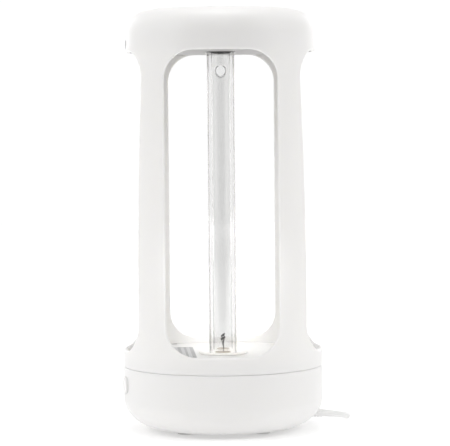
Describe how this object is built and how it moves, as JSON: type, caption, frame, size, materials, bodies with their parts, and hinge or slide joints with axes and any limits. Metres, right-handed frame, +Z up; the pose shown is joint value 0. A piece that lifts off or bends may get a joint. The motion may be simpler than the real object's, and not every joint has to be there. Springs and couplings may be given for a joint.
{
  "type": "ultraviolet tube lamp",
  "caption": "Free-standing ultraviolet tube lamp: a round white housing with open windows between pillars, a quartz tube lamp, a base with a push button, and a mains cord.",
  "frame": {"origin": "centre of the footprint, on the plane of the rubber feet's lowest faces", "axes": "+Z up along the lamp's vertical axis; -Y is the front, which has a window with one tube seen before the other; the power button is on the -X side and the mains cord leaves on the +X side"},
  "size_m": [0.1803, 0.245, 0.328],
  "materials": {
    "housing_plastic": "fine satin moulding",
    "deck_plastic": "satin moulding, slightly warm",
    "grommet_rubber": "soft matt",
    "screw_steel": "zinc plated",
    "lens_plastic": "dark gloss window",
    "board": "solder-resist green",
    "black_plastic": "satin",
    "quartz": "clear quartz",
    "cement": "rough baked cement",
    "cathode_wire": "oxidised wire",
    "lamp_base_plastic": "satin moulding",
    "brass_contact": "plain",
    "plate": "printed plate, plain",
    "foot_rubber": "pale matt rubber",
    "ferrite": "sintered",
    "copper_wire": "enamelled copper",
    "capacitor_sleeve": "shrink sleeve",
    "film_cap": "dipped resin",
    "fuse_glass": "clear tube",
    "sink_aluminium": "extruded",
    "terminal_green": "moulded",
    "button_plastic": "satin gloss",
    "lead_white": "insulation",
    "lead_red": "insulation",
    "lead_brown": "insulation",
    "cord_white": "soft satin sheath",
    "tie_black": "plastic-covered wire",
    "pin_nickel": "nickel plated"
  },
  "bodies": {
    "housing": {"upper_housing": "housing_plastic", "ceiling_plate": "housing_plastic", "tube_grommet": "grommet_rubber", "ceiling_screws": "screw_steel", "sensor_window": "lens_plastic", "sensor_board": "board", "sensor_receiver": "black_plastic", "quartz_lamp": "quartz", "cement_discs": "cement", "front_cathode": "cathode_wire", "rear_cathode": "cathode_wire", "lamp_base": "lamp_base_plastic", "lamp_pins": "brass_contact", "lamp_holder": "deck_plastic", "holder_contacts": "brass_contact", "holder_screws": "screw_steel", "deck_plate": "deck_plastic", "rating_plate": "plate", "wire_channel": "housing_plastic", "sensor_leads": "lead_white", "base_cup": "housing_plastic", "base_screws": "screw_steel", "rubber_feet": "foot_rubber", "circuit_board": "board", "board_screws": "screw_steel", "choke_coil": "copper_wire", "choke_core": "ferrite", "capacitor": "capacitor_sleeve", "film_capacitors": "film_cap", "filter_coil": "copper_wire", "fuse": "fuse_glass", "transistors": "black_plastic", "heat_sink": "sink_aluminium", "terminal_block": "terminal_green", "switch_body": "black_plastic", "switch_board": "board", "lamp_leads": "lead_white", "switch_leads": "lead_red", "mains_leads": "lead_brown", "cord_clamp": "deck_plastic", "clamp_screws": "screw_steel", "strain_relief": "cord_white", "cord_lead": "cord_white", "cord_coil": "cord_white", "cord_tail": "cord_white", "cord_tie": "tie_black", "plug_body": "cord_white", "plug_pins": "pin_nickel"},
    "button": {"power_button": "button_plastic", "switch_plunger": "lamp_base_plastic"}
  },
  "joints": [
    {"name": "button_press", "type": "slide", "parent": "housing", "child": "button", "axis": [0.9681, 0.2504, 0], "range_m": [0, 0.0015], "stiffness_N_per_m": 1000, "springref_m": -0.0005}
  ]
}
